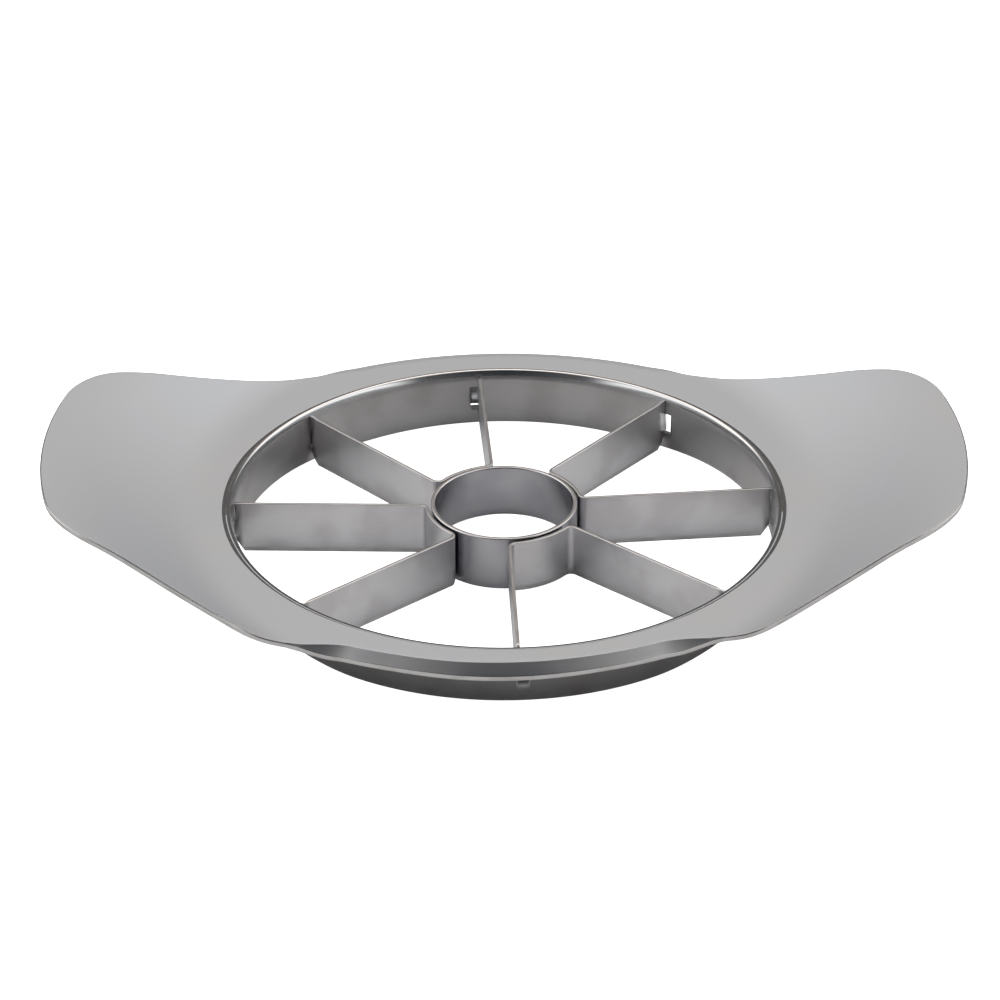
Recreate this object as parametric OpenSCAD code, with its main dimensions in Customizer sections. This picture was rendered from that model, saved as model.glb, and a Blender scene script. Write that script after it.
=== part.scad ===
// Apple slicer wedger press, all stainless steel.
// Millimetres. Z is up, X runs along the two handles. The origin is the centre of the round opening, on the
// plane that the lower rim of the collar rests on.

/* [Opening and collar] */
// Inside diameter of the round collar
opening_d = 100; // [80:1:120]
// Height of the collar, from its lower rim to the top of the plate
collar_h = 11.2; // [11:0.1:18]
// Thickness of the drawn collar's wall
collar_t = 0.8; // [0.5:0.1:1.2]
// Inward lean of the collar's wall from the rim to its lower edge
collar_draft = 0.4; // [0:0.05:0.8]
// Thickness of the stamped sheet
sheet_t = 0.9; // [0.6:0.1:1.4]
// Outer radius of the rounded rim between the plate and the collar
bead_r = 2; // [1.5:0.1:3]

/* [Plate outline] */
// Flat width of the ring at the front and the back, from the opening to the fold of the lip
rim_w = 6.1; // [5:0.1:9]
// Radius of the fold line at the front and the back
fold_r = 70; // [65:1:90]
// Half length of the lip along X
lip_half_l = 29; // [20:1:32]
// Run of the lip's end, over which it fades into the flat edge
lip_fade = 8; // [5:0.1:9]
// Width of the ring at the lip's end, from the opening
waist_w = 10.9; // [10.4:0.1:13]
// Width of the ring where the handle's straight flank starts, from the opening
flank_w = 14.4; // [14:0.1:17]
// Direction in which the flank starts, from the X axis
flank_start = 44.4; // [42:0.1:46]
// Slope of the flank
flank_angle = 26.8; // [24:0.1:30]
// Radius that eases the edge into the flank
flank_ease_r = 40; // [20:1:60]
// Reach of each handle beyond the opening
handle_l = 34.6; // [30:0.1:45]
// Radius of the handle's corners
corner_r = 18; // [10:0.5:24]

/* [Lip] */
// Reach of the turned-down lip beyond its fold
lip_out = 2.8; // [1.5:0.1:3]
// Slope of the lip
lip_angle = 25.4; // [20:0.2:50]
// Radius of the lip's fold, on its top face
lip_bend_r = 1.2; // [1.2:0.1:2]
// Step from each face of the plate down to the lip, which is pressed thinner
lip_step = 0.02; // [0.01:0.01:0.05]

/* [Raised handles] */
// Distance from the opening, along X, at which the handle starts to rise
lift_gap = 4.9; // [4:0.1:8]
// Distance of the bowl's axis beyond the centre of the opening
lift_axis = 20; // [0:1:30]
// Steepest slope of the handle
lift_angle = 29.2; // [15:0.2:32]
// Radius of the lower bend, on its top face
lift_low_r = 13.5; // [8:0.5:20]
// Length of the straight slope, measured along X
lift_run = 10.3; // [4:0.1:12]
// Radius of the upper bend, on its top face
lift_high_r = 36; // [34:1:60]

/* [Blades] */
// Thickness of the blade strips
strip_t = 0.6; // [0.4:0.05:0.8]
// Height of the blade strips
strip_h = 10.2; // [7.5:0.1:10.3]
// Clearance between the cutting edges and the resting plane
edge_gap = 0.2; // [0.1:0.05:0.6]
// Height of the ground bevels, one on each face
bevel_h = 1; // [0.8:0.1:2]
// Thickness left at the cutting edge
edge_t = 0.12; // [0.08:0.02:0.2]
// Direction of each strip's first blade where it meets the collar
first_wall = [6.1, 95.4, 179.5, 272.7]; // [0:0.1:360]
// Direction of each strip's first blade where it meets the hub
first_hub = [7.8, 98.8, 181.7, 273.9]; // [0:0.1:360]
// Direction of each strip's second blade where it meets the collar
second_wall = [51.6, 137.8, 224.4, 321.3]; // [0:0.1:360]
// Direction of each strip's second blade where it meets the hub
second_hub = [55, 147.9, 233, 326.6]; // [0:0.1:360]
// Middle radius of the bend between a blade and the hub's arc
strip_bend_r = 1.4; // [0.7:0.1:1.8]
// Length of the chamfer on a blade's lower outer corner
corner_cut_l = 1.5; // [0.5:0.1:3]
// Height of the same chamfer
corner_cut_h = 2.6; // [1:0.1:3]

/* [Slots and tabs] */
// Width of the slots in the collar
slot_w = 2.2; // [1.6:0.1:3]
// Height of the slots
slot_h = 4.2; // [2.5:0.1:4.6]
// Length of the part of each tab that is folded against the collar
tab_fold_l = 1.9; // [1:0.1:3]
// Thickness of the tabs, coined thinner than the strips
tab_t = 0.5; // [0.3:0.05:0.7]
// Clearance around a tab in its slot
tab_gap = 0.15; // [0.1:0.01:0.3]

/* [Hub] */
// Inside diameter of the hub ring
core_d = 25.5; // [18:0.5:30]
// Wall of the hub ring
core_t = 0.8; // [0.6:0.1:1.2]
// Height of the hub ring
core_h = 10.5; // [7.5:0.1:10.6]
// Height of the ground bevel inside the hub ring's lower edge
core_bevel_h = 0.6; // [0.3:0.1:1]
// Gap between the hub ring and the strips, bridged by the welds
weld_gap = 0.45; // [0.2:0.05:0.6]
// Diameter of the welds
weld_d = 2.6; // [1.5:0.1:4]

/* [Hidden] */
$fn = 96;
// Steps of the arcs in outlines and profiles
arc_steps = 8;
// Spare length of cutting tools and masks past what they cut
over = 1;

steel = [0.70, 0.70, 0.71];
blade_steel = [0.62, 0.62, 0.64];
hub_steel = [0.55, 0.56, 0.60];
weld_steel = [0.45, 0.45, 0.47];

opening_r = opening_d / 2;
core_r = core_d / 2;
hub_r = core_r + core_t;
strip_r = hub_r + weld_gap + strip_t / 2;
tip_r = opening_r + handle_l;

fold_y = opening_r + rim_w;
fold_centre_y = fold_y - fold_r;
lip_end = [lip_half_l, fold_centre_y + sqrt(pow(fold_r, 2) - pow(lip_half_l, 2))];
lip_end_angle = atan2(lip_end[0], lip_end[1] - fold_centre_y);
waist_x = lip_half_l + lip_fade;
waist = [waist_x, sqrt(pow(opening_r + waist_w, 2) - pow(waist_x, 2))];

flank_point = (opening_r + flank_w) * [cos(flank_start), sin(flank_start)];
flank_normal = [sin(flank_angle), cos(flank_angle)];
flank_along = [cos(flank_angle), -sin(flank_angle)];
flank_offset = flank_point * flank_normal;
corner_along = sqrt(pow(tip_r - corner_r, 2) - pow(flank_offset - corner_r, 2));
corner_centre = (flank_offset - corner_r) * flank_normal + corner_along * flank_along;
corner_end_angle = atan2(corner_centre[1], corner_centre[0]);

waist_slope = atan2(waist[1] - flank_point[1], flank_point[0] - waist[0]);
ease_tangent = flank_ease_r * tan((flank_angle - waist_slope) / 2);
ease_start = flank_point - ease_tangent * [cos(waist_slope), -sin(waist_slope)];
ease_centre = ease_start - flank_ease_r * [sin(waist_slope), cos(waist_slope)];

blade_bottom = edge_gap;
// Room for the flats of the strip's arc at the welds
weld_seat = 0.03;
slot_z = collar_h / 2;
tab_h = slot_h - 4 * tab_gap;
blade_end_r = opening_r - tab_gap;
tab_reach = collar_t - collar_draft / 2 + 2 * tab_gap + tab_t;

// Points on an arc from one angle to another
function arc(centre, r, from, to, steps = arc_steps) =
    [for (i = [0 : steps]) let (a = from + (to - from) * i / steps) centre + r * [cos(a), sin(a)]];

function mirror_y(points) = [for (i = [len(points) - 1 : -1 : 0]) [points[i][0], -points[i][1]]];

// Edge of the flat plate in the quarter where X and Y are positive, from the back to the handle's tip. It stops
// short of the lip's fold, which the lip reaches over
function quarter_edge() = concat(
    arc([0, fold_centre_y], fold_r - over / 2, 90, 90 - lip_end_angle),
    [waist],
    arc(ease_centre, flank_ease_r, 90 - waist_slope, 90 - flank_angle),
    arc(corner_centre, corner_r, 90 - flank_angle, corner_end_angle),
    arc([0, 0], tip_r, corner_end_angle, 0)
);

function half_edge() = concat(quarter_edge(), mirror_y(quarter_edge()));

// Side view of the sheet from the bowl's axis outward, and its lower face one sheet below
rise_start = lift_axis + opening_r + lift_gap;
low_centre = [rise_start, collar_h + lift_low_r];
slope_start = low_centre + lift_low_r * [sin(lift_angle), -cos(lift_angle)];
slope_end = slope_start + lift_run * [1, tan(lift_angle)];
high_centre = slope_end + lift_high_r * [sin(lift_angle), -cos(lift_angle)];
sheet_reach = lift_axis + tip_r + over;
// Slope left at the end of the upper bend, beyond the handle's tip
high_end_angle = acos((sheet_reach - high_centre[0]) / lift_high_r);

function sheet_side() = concat(
    [[0, collar_h - sheet_t], [0, collar_h]],
    arc(low_centre, lift_low_r, 270, 270 + lift_angle),
    arc(high_centre, lift_high_r, 90 + lift_angle, high_end_angle),
    arc(high_centre, lift_high_r - sheet_t, high_end_angle, 90 + lift_angle),
    arc(low_centre, lift_low_r + sheet_t, 270 + lift_angle, 270)
);

// Side view of the rolled rim and the collar's wall, from the flat sheet inward and down
bead_centre = [opening_r + bead_r, collar_h - bead_r];

function collar_side() = concat(
    [[bead_centre[0] + bead_r, collar_h]],
    arc(bead_centre, bead_r, 90, 180),
    [[opening_r - collar_draft, 0], [opening_r - collar_draft + collar_t, 0]],
    arc(bead_centre, bead_r - sheet_t, 180, 90),
    [[bead_centre[0] + bead_r, collar_h - sheet_t]]
);

// Side view of the lip, from just inside its fold outward and down to the trimmed edge
lip_centre = [fold_r, collar_h - lip_bend_r];
lip_top_r = lip_bend_r - lip_step;
lip_under_r = lip_bend_r - sheet_t + lip_step;
lip_slope_x = lip_centre[0] + lip_top_r * sin(lip_angle);
lip_edge_x = fold_r + lip_out;
lip_edge_z = lip_centre[1] + lip_top_r * cos(lip_angle) - (lip_edge_x - lip_slope_x) * tan(lip_angle);
lip_edge_h = (lip_top_r - lip_under_r) / cos(lip_angle);

function lip_side() = concat(
    [[fold_r - over, collar_h - sheet_t + lip_step], [fold_r - over, collar_h - lip_step]],
    arc(lip_centre, lip_top_r, 90, 90 - lip_angle),
    [[lip_edge_x, lip_edge_z], [lip_edge_x, lip_edge_z - lip_edge_h]],
    arc(lip_centre, lip_under_r, 90 - lip_angle, 90)
);

// One half of the plate: the flat ring and a handle that rises like the side of a bowl
module half_sheet() {
    intersection() {
        translate([-lift_axis, 0, 0])
            rotate([0, 0, -90])
                rotate_extrude(angle = 180)
                    polygon(sheet_side());
        linear_extrude(height = collar_h + lift_axis + handle_l)
            polygon(half_edge());
    }
}

// The lip at the back, with its two ends fading into the flat edge
module lip() {
    translate([0, fold_centre_y, 0])
        rotate([0, 0, 90 - lip_end_angle])
            rotate_extrude(angle = 2 * lip_end_angle)
                polygon(lip_side());
    for (side = [0, 1])
        mirror([side, 0, 0])
            lip_fade_end();
}

// Thin slice of the lip's section and of the flat edge, joined into the end that fades out. The slices lie just
// inside the lip and the edge
module lip_fade_end() {
    slice = 0.05;
    outer_x = lip_edge_x - slice;
    hull() {
        translate([0, fold_centre_y, 0])
            rotate([0, 0, 90 - lip_end_angle])
                rotate_extrude(angle = slice)
                    polygon([[fold_r - over, collar_h - 2 * lip_step], [outer_x, lip_edge_z],
                             [outer_x, lip_edge_z - lip_edge_h + 2 * slice],
                             [fold_r - over, collar_h - sheet_t + 2 * lip_step]]);
        translate([waist[0] - 4 * slice, waist[1] - 6 * slice, collar_h - sheet_t + 2 * lip_step])
            cube([slice, slice, sheet_t - 4 * lip_step]);
    }
}

// A slot through the collar, beside the blade that ends there
module slot(wall_angle, side) {
    centre_y = side * (slot_w - tab_t - 2 * tab_gap) / 2;
    rotate([0, 0, wall_angle])
        translate([opening_r - over, centre_y - slot_w / 2, slot_z - slot_h / 2])
            cube([collar_t + 2 * over, slot_w, slot_h]);
}

module handle_plate() {
    color(steel)
    difference() {
        union() {
            difference() {
                for (side = [0, 1])
                    mirror([side, 0, 0])
                        half_sheet();
                cylinder(r = bead_centre[0], h = collar_h + over);
            }
            for (side = [0, 1])
                mirror([0, side, 0])
                    lip();
            rotate_extrude()
                polygon(collar_side());
        }
        for (i = [0 : 3]) {
            slot(first_wall[i], 1);
            slot(second_wall[i], -1);
        }
    }
}

// Section of a strip, ground from both faces to its cutting edge
function strip_section() = [
    [-strip_t / 2, strip_h],
    [-strip_t / 2, bevel_h],
    [-edge_t / 2, 0],
    [edge_t / 2, 0],
    [strip_t / 2, bevel_h],
    [strip_t / 2, strip_h]
];

// Distance from the axis at which a blade's direction at the hub is read, half way into its bend
hub_measure_r = strip_r + strip_bend_r / 2;

// Direction, sideways offset from the axis and outer end of a blade, from its directions at the wall and the hub
function blade_heading(wall_angle, hub_angle) =
    let (turn = hub_angle - wall_angle)
    wall_angle - atan2(hub_measure_r * sin(turn), blade_end_r - hub_measure_r * cos(turn));
function blade_offset(wall_angle, hub_angle) =
    blade_end_r * sin(wall_angle - blade_heading(wall_angle, hub_angle));
function blade_end_along(wall_angle, hub_angle) =
    blade_end_r * cos(wall_angle - blade_heading(wall_angle, hub_angle));

// Centre of the bend between a blade and the hub's arc, in the blade's own directions [along, sideways]
function bend_centre(offset, side) =
    let (sideways = offset + side * strip_bend_r)
    [sqrt(pow(strip_r + strip_bend_r, 2) - pow(sideways, 2)), sideways];

// Stations of a strip's middle line as [x, y, direction of the side that faces the wedge between the blades]
function station(point, facing) = [point[0], point[1], facing];
function turned(point, angle) =
    [point[0] * cos(angle) - point[1] * sin(angle), point[0] * sin(angle) + point[1] * cos(angle)];

// Stations of one blade from its outer end through its bend, as if its strip went on counter-clockwise if side
// is 1 and clockwise if it is -1
function blade_stations(wall_angle, hub_angle, side) =
    let (
        heading = blade_heading(wall_angle, hub_angle),
        offset = blade_offset(wall_angle, hub_angle),
        centre = bend_centre(offset, side),
        turn = 90 - side * atan2(centre[1], centre[0])
    )
    concat(
        [station(turned([blade_end_along(wall_angle, hub_angle), offset], heading), heading + side * 90)],
        [for (i = [0 : arc_steps])
            let (a = -side * (90 + turn * i / arc_steps))
            station(turned(centre + strip_bend_r * [cos(a), sin(a)], heading), heading + a + 180)]
    );

function reversed(list) = [for (i = [len(list) - 1 : -1 : 0]) list[i]];

function strip_stations(i) =
    let (
        first = blade_stations(first_wall[i], first_hub[i], 1),
        second = blade_stations(second_wall[i], second_hub[i], -1),
        first_bend = first[len(first) - 1],
        second_bend = second[len(second) - 1],
        from = atan2(first_bend[1], first_bend[0]),
        sweep = (atan2(second_bend[1], second_bend[0]) - from + 360) % 360
    )
    concat(
        first,
        [for (k = [1 : arc_steps - 1])
            let (a = from + sweep * k / arc_steps)
            station(strip_r * [cos(a), sin(a)], a)],
        reversed(second)
    );

// A section carried along a row of stations, with the section's x turned to each station's facing side
module carried_section(section, stations) {
    n = len(section);
    last = len(stations) - 1;
    points = [for (s = stations) for (p = section) [s[0] + p[0] * cos(s[2]), s[1] + p[0] * sin(s[2]), p[1]]];
    sides = [for (i = [0 : last - 1]) for (j = [0 : n - 1])
        [i * n + j, i * n + (j + 1) % n, (i + 1) * n + (j + 1) % n, (i + 1) * n + j]];
    ends = [[for (j = [n - 1 : -1 : 0]) j], [for (j = [0 : n - 1]) last * n + j]];
    polyhedron(points = points, faces = concat(sides, ends), convexity = 6);
}

// Tool that takes off a blade's lower outer corner
module corner_cut(wall_angle, hub_angle) {
    end = blade_end_along(wall_angle, hub_angle);
    rotate([0, 0, blade_heading(wall_angle, hub_angle)])
        translate([0, blade_offset(wall_angle, hub_angle) + over, 0])
            rotate([90, 0, 0])
                linear_extrude(height = 2 * over)
                    polygon([[end - corner_cut_l, 0], [end, corner_cut_h], [end + over, corner_cut_h],
                             [end + over, -over], [end - corner_cut_l, -over]]);
}

// Space that a strip's blades keep clear of: the collar's leaning wall and a clearance inside it
module collar_room() {
    lean = collar_draft * (collar_h + 2 * over) / collar_h;
    translate([0, 0, -blade_bottom - over])
        rotate_extrude()
            polygon([[opening_r - lean - tab_gap, 0], [opening_r - tab_gap, collar_h + 2 * over],
                     [opening_r + over, collar_h + 2 * over], [opening_r + over, 0]]);
}

// The tab that goes through the collar and is folded against its outside
module tab(wall_angle, hub_angle) {
    start = blade_end_along(wall_angle, hub_angle) - over;
    rotate([0, 0, blade_heading(wall_angle, hub_angle)])
        translate([start, blade_offset(wall_angle, hub_angle) - tab_t / 2, slot_z - blade_bottom - tab_h / 2]) {
            cube([tab_reach + over, tab_t, tab_h]);
            translate([over + tab_reach - tab_t, 0, 0])
                cube([tab_t, tab_t + tab_fold_l, tab_h]);
        }
}

// A bent strip: two blades and the arc that wraps the hub between them
module blade_strip(i) {
    ends = [[first_wall[i], first_hub[i]], [second_wall[i], second_hub[i]]];
    color(blade_steel)
    translate([0, 0, blade_bottom])
        union() {
            difference() {
                carried_section(strip_section(), strip_stations(i));
                collar_room();
                for (end = ends)
                    corner_cut(end[0], end[1]);
            }
            for (end = ends)
                tab(end[0], end[1]);
        }
}

module blade_strip_right() {
    blade_strip(0);
}

module blade_strip_back() {
    blade_strip(1);
}

module blade_strip_left() {
    blade_strip(2);
}

module blade_strip_front() {
    blade_strip(3);
}

module hub_ring() {
    color(hub_steel)
    translate([0, 0, blade_bottom])
        difference() {
            cylinder(r = hub_r, h = core_h);
            translate([0, 0, -over])
                cylinder(r = core_r, h = core_h + 2 * over);
            cylinder(r1 = hub_r - edge_t, r2 = core_r, h = core_bevel_h);
        }
}

// A round weld in the gap between the hub ring and the middle of each strip's arc
module hub_welds() {
    color(weld_steel)
    for (i = [0 : 3])
        rotate([0, 0, (first_hub[i] + second_hub[i]) / 2])
            intersection() {
                translate([0, 0, blade_bottom])
                    difference() {
                        cylinder(r = hub_r + weld_gap - weld_seat, h = strip_h);
                        cylinder(r = hub_r, h = strip_h);
                    }
                translate([0, 0, slot_z])
                    rotate([0, 90, 0])
                        cylinder(d = weld_d, h = hub_r + 2 * weld_gap);
            }
}

handle_plate();
blade_strip_right();
blade_strip_back();
blade_strip_left();
blade_strip_front();
hub_ring();
hub_welds();
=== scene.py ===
"""Looks of a press-down fruit slicer: a drawn stainless plate, four bent blade strips and a coring ring.

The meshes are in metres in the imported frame: X along the handles, Y to the back, Z up from the collar's
lower rim. Sizes in the classes are millimetres, and make_piece turns them to metres.
"""

import logging
import math
from dataclasses import dataclass
from enum import Enum, IntEnum
from typing import Any, Optional, Sequence

import bmesh
import bpy
import numpy as np
from mathutils import Matrix

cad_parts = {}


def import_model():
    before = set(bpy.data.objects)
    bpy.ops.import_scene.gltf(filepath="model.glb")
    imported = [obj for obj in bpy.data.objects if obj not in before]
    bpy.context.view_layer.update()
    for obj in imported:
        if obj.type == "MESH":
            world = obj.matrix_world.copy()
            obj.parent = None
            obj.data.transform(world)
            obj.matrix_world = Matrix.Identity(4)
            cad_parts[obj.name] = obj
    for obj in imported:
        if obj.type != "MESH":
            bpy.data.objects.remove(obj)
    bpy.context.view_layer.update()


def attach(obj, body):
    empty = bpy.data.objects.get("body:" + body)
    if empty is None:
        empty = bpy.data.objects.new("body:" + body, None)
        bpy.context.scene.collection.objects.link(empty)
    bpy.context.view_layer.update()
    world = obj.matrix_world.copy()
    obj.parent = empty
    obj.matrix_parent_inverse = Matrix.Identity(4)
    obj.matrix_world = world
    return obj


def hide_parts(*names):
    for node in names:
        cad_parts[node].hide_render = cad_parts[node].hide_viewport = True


LOG = logging.getLogger("fruit_slicer")
MM = 0.001
BODY = "root"
WHITE = (1.0, 1.0, 1.0, 1.0)
# Metres: points closer than this are one corner
WELD_DISTANCE = 1.5e-6
# Degrees along a quarter round of an edge, and along the bend of a tab
QUARTER_ROUND = (0, 30, 60, 90)
TAB_BEND = (22.5, 45, 67.5, 90)
# Rows of the collar's wall from a slot's lower edge to its upper edge
SLOT_ROWS = range(3, 5)


# --- Small helpers ---


def linear(hex_code: str) -> tuple[float, float, float, float]:
    """Turns an sRGB hex colour into linear light.

    Args:
        hex_code: Six hex digits after a hash sign.

    Returns:
        Linear red, green and blue, and an alpha of one.
    """
    values = [int(hex_code[i : i + 2], 16) / 255 for i in (1, 3, 5)]
    red, green, blue = (v / 12.92 if v <= 0.04045 else ((v + 0.055) / 1.055) ** 2.4 for v in values)
    return red, green, blue, 1.0


def add_node(
    tree: bpy.types.NodeTree, kind: str, inputs: Optional[dict] = None, **settings: Any
) -> bpy.types.Node:
    """Adds a node, sets its properties, and sets or links its inputs.

    Args:
        tree: The node tree that gets the node.
        kind: Blender's name of the node type.
        inputs: Input name or index to a value, or to the socket that feeds it.
        **settings: Properties of the node itself.

    Returns:
        The new node.
    """
    node = tree.nodes.new(kind)
    for name, value in settings.items():
        setattr(node, name, value)
    for name, value in (inputs or {}).items():
        if isinstance(value, bpy.types.NodeSocket):
            tree.links.new(value, node.inputs[name])
        else:
            node.inputs[name].default_value = value
    return node


def smooth_step(t: np.ndarray) -> np.ndarray:
    """Eases t from 0 to 1 with level ends."""
    t = np.clip(t, 0.0, 1.0)
    return t * t * (3 - 2 * t)


def arc_points(centre: Sequence[float], radius: float, start: float, end: float, steps: int) -> np.ndarray:
    """Samples an arc in equal steps from the start to the end, both in degrees, as one point a row."""
    angles = np.radians(np.linspace(start, end, steps + 1))
    return np.stack([centre[0] + radius * np.cos(angles), centre[1] + radius * np.sin(angles)], axis=1)


def make_piece(
    name: str,
    points: np.ndarray,
    faces: Sequence[Sequence[int]],
    slots: Optional[Sequence[int]] = None,
    run: Optional[np.ndarray] = None,
) -> bpy.types.Object:
    """Makes a smooth-shaded mesh object out of points in millimetres.

    Args:
        name: Name of the piece.
        points: Corner points, one a row.
        faces: Indices of each face's corners.
        slots: Material slot of each face, or none for the first slot everywhere.
        run: Two numbers a point, the way along and up a strip in metres, kept as a UV map.

    Returns:
        The object, linked to the scene.
    """
    mesh = bpy.data.meshes.new(name)
    mesh.from_pydata((np.asarray(points, float) * MM).tolist(), [], [list(f) for f in faces])
    if run is not None:
        layer = mesh.uv_layers.new(name="strip_run")
        corners = np.zeros(len(mesh.loops), np.int32)
        mesh.loops.foreach_get("vertex_index", corners)
        layer.data.foreach_set("uv", np.asarray(run, np.float32)[corners].ravel())
    if slots is not None:
        mesh.polygons.foreach_set("material_index", np.asarray(slots, np.int32))
    mesh.polygons.foreach_set("use_smooth", np.ones(len(mesh.polygons), bool))
    shape = bmesh.new()
    shape.from_mesh(mesh)
    bmesh.ops.remove_doubles(shape, verts=shape.verts, dist=WELD_DISTANCE)
    bmesh.ops.recalc_face_normals(shape, faces=shape.faces)
    shape.to_mesh(mesh)
    shape.free()
    piece = bpy.data.objects.new(name, mesh)
    bpy.context.scene.collection.objects.link(piece)
    return piece


def grid_face(one: int, other: int, start: int, end: int) -> tuple[int, int, int, int]:
    """Gives the corners of a grid's face from its two offsets one way and its two offsets the other."""
    return one + start, other + start, other + end, one + end


def finish_piece(
    piece: bpy.types.Object, node: str, materials: Sequence[bpy.types.Material]
) -> None:
    """Gives a piece its materials and its place in the frame.

    Args:
        piece: The piece.
        node: The CAD node that it stands for.
        materials: Materials in the order of the faces' slots.
    """
    for material in materials:
        piece.data.materials.append(material)
    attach(piece, BODY)
    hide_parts(node)
    LOG.info("%s: %d faces, stands for %s", piece.name, len(piece.data.polygons), node)


# --- Finishes ---


class Grain(Enum):
    """Which way the polishing marks of a finish run."""

    NONE = "none"
    ALONG_STRIP = "along_strip"
    ROUND_AXIS = "round_axis"


@dataclass(frozen=True)
class StainlessFinish:
    """A stainless steel surface, told apart by how it was worked.

    The cloud is the slow change in tone that polishing by hand leaves, and the grain is the fine marks.
    Real marks are finer than a pixel, so their pitch is drawn as coarse as it needs to show.
    """

    name: str
    colour: str
    tint: str
    roughness: float
    roughness_swing: float
    cloud_mm: float
    grain_pitch_mm: float
    grain_depth_mm: float
    grain: Grain = Grain.NONE
    tone_swing: float = 0.06
    # The cloud's values between which the colour turns into the tint
    tint_from: float = 0.42
    tint_to: float = 0.66
    # A mark is this much of a pitch high for each pitch that it is long
    mark_stretch: float = 0.03

    def build(self) -> bpy.types.Material:
        """Builds the material.

        Returns:
            A metal with its cloud, its grain and its colour.
        """
        material = bpy.data.materials.new(self.name)
        material.use_nodes = True
        tree = material.node_tree
        shader = tree.nodes["Principled BSDF"]
        shader.inputs["Metallic"].default_value = 1.0
        place = add_node(tree, "ShaderNodeTexCoord").outputs["Object"]
        cloud = add_node(
            tree,
            "ShaderNodeTexNoise",
            {"Vector": place, "Scale": 1 / (self.cloud_mm * MM), "Detail": 2.0, "Roughness": 0.45},
        ).outputs["Fac"]
        marks = self.marks(tree, place)
        tone = add_node(
            tree,
            "ShaderNodeMath",
            {0: marks, 1: self.tone_swing, 2: 1 - self.tone_swing / 2},
            operation="MULTIPLY_ADD",
        )
        patches = add_node(
            tree,
            "ShaderNodeMapRange",
            {"Value": cloud, "From Min": self.tint_from, "From Max": self.tint_to},
            interpolation_type="SMOOTHSTEP",
        )
        # Sockets 6 and 7 are the Mix node's two colours, and output 2 is its mixed colour
        tinted = add_node(
            tree,
            "ShaderNodeMix",
            {0: patches.outputs["Result"], 6: linear(self.colour), 7: linear(self.tint)},
            data_type="RGBA",
        )
        toned = add_node(
            tree, "ShaderNodeVectorMath", {0: tinted.outputs[2], "Scale": tone.outputs[0]}, operation="SCALE"
        )
        tree.links.new(toned.outputs[0], shader.inputs["Base Color"])
        blend = add_node(tree, "ShaderNodeMath", {0: marks, 1: cloud}, operation="ADD")
        centred = add_node(tree, "ShaderNodeMath", {0: blend.outputs[0], 1: 1.0}, operation="SUBTRACT")
        rough = add_node(
            tree,
            "ShaderNodeMath",
            {0: centred.outputs[0], 1: self.roughness_swing, 2: self.roughness},
            operation="MULTIPLY_ADD",
            use_clamp=True,
        )
        tree.links.new(rough.outputs[0], shader.inputs["Roughness"])
        bump = add_node(
            tree, "ShaderNodeBump", {"Height": marks, "Distance": self.grain_depth_mm * MM, "Strength": 1.0}
        )
        tree.links.new(bump.outputs["Normal"], shader.inputs["Normal"])
        return material

    def marks(self, tree: bpy.types.NodeTree, place: bpy.types.NodeSocket) -> bpy.types.NodeSocket:
        """Makes the polishing marks, stretched along the way that the tool ran.

        Args:
            tree: The material's node tree.
            place: Place on the object, in metres.

        Returns:
            A value from 0 to 1.
        """
        fine = 1 / (self.grain_pitch_mm * MM)
        long = fine * self.mark_stretch
        way, scales = place, (fine, fine, fine)
        if self.grain is Grain.ALONG_STRIP:
            way = add_node(tree, "ShaderNodeUVMap", uv_map="strip_run").outputs["UV"]
            scales = (long, fine, 0.0)
        elif self.grain is Grain.ROUND_AXIS:
            scales = (long, long, fine)
        vector = add_node(tree, "ShaderNodeVectorMath", {0: way, 1: scales}, operation="MULTIPLY")
        return add_node(
            tree,
            "ShaderNodeTexNoise",
            {"Vector": vector.outputs[0], "Scale": 1.0, "Detail": 3.0, "Roughness": 0.6},
        ).outputs["Fac"]


# Pressed 304 sheet, tumbled to a satin skin: an even light grey with broad, soft reflections
SATIN_SHEET = StainlessFinish(
    "stainless_sheet_tumbled_satin", "#CBCED2", "#CCCED0",
    roughness=0.62, roughness_swing=0.03, cloud_mm=26.0,
    grain_pitch_mm=0.5, grain_depth_mm=0.0006, tone_swing=0.03,
)
# Inside of the drawn wall, burnished by the die: soft highlights with faint marks round the axis
DRAWN_WALL = StainlessFinish(
    "stainless_wall_die_burnished", "#B3B2B2", "#A8A6A6", roughness=0.38, roughness_swing=0.06, cloud_mm=9.0,
    grain=Grain.ROUND_AXIS, grain_pitch_mm=0.4, grain_depth_mm=0.0008, tone_swing=0.1,
)
# Outside of the drawn wall: greyer than the inside as painted shade, for the shaded floor under the
# overhang that it reflects, with faint marks round the axis
OUTER_WALL_SHADE = StainlessFinish(
    "stainless_wall_outside_painted_shade", "#9B9999", "#908D8C", roughness=0.34, roughness_swing=0.06, cloud_mm=10.0,
    grain=Grain.ROUND_AXIS, grain_pitch_mm=0.4, grain_depth_mm=0.0008, tone_swing=0.1,
)
# The rounded rim at the top of the wall, buffed: a thin bright line with a dark band under it
ROLLED_RIM = StainlessFinish(
    "stainless_rim_rolled", "#D2D2D2", "#CDCDCE", roughness=0.14, roughness_swing=0.04, cloud_mm=14.0,
    grain_pitch_mm=0.5, grain_depth_mm=0.0003, tone_swing=0.03,
)
# Painted shade: the line where the rim meets the plate is dull and dark to stand in for the shade in the
# crease
RIM_CREASE_SHADE = StainlessFinish(
    "stainless_crease_painted_shade", "#7E7A78", "#6C6866", roughness=0.5, roughness_swing=0.05, cloud_mm=6.0,
    grain_pitch_mm=0.3, grain_depth_mm=0.001,
)
# The lip, burnished where the folding die slid over it: a darker band with a tight reflection
PRESSED_LIP = StainlessFinish(
    "stainless_lip_die_pressed", "#B8B7B6", "#AEADAE", roughness=0.24, roughness_swing=0.05, cloud_mm=12.0,
    grain=Grain.ROUND_AXIS, grain_pitch_mm=0.4, grain_depth_mm=0.0004,
)
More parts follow.
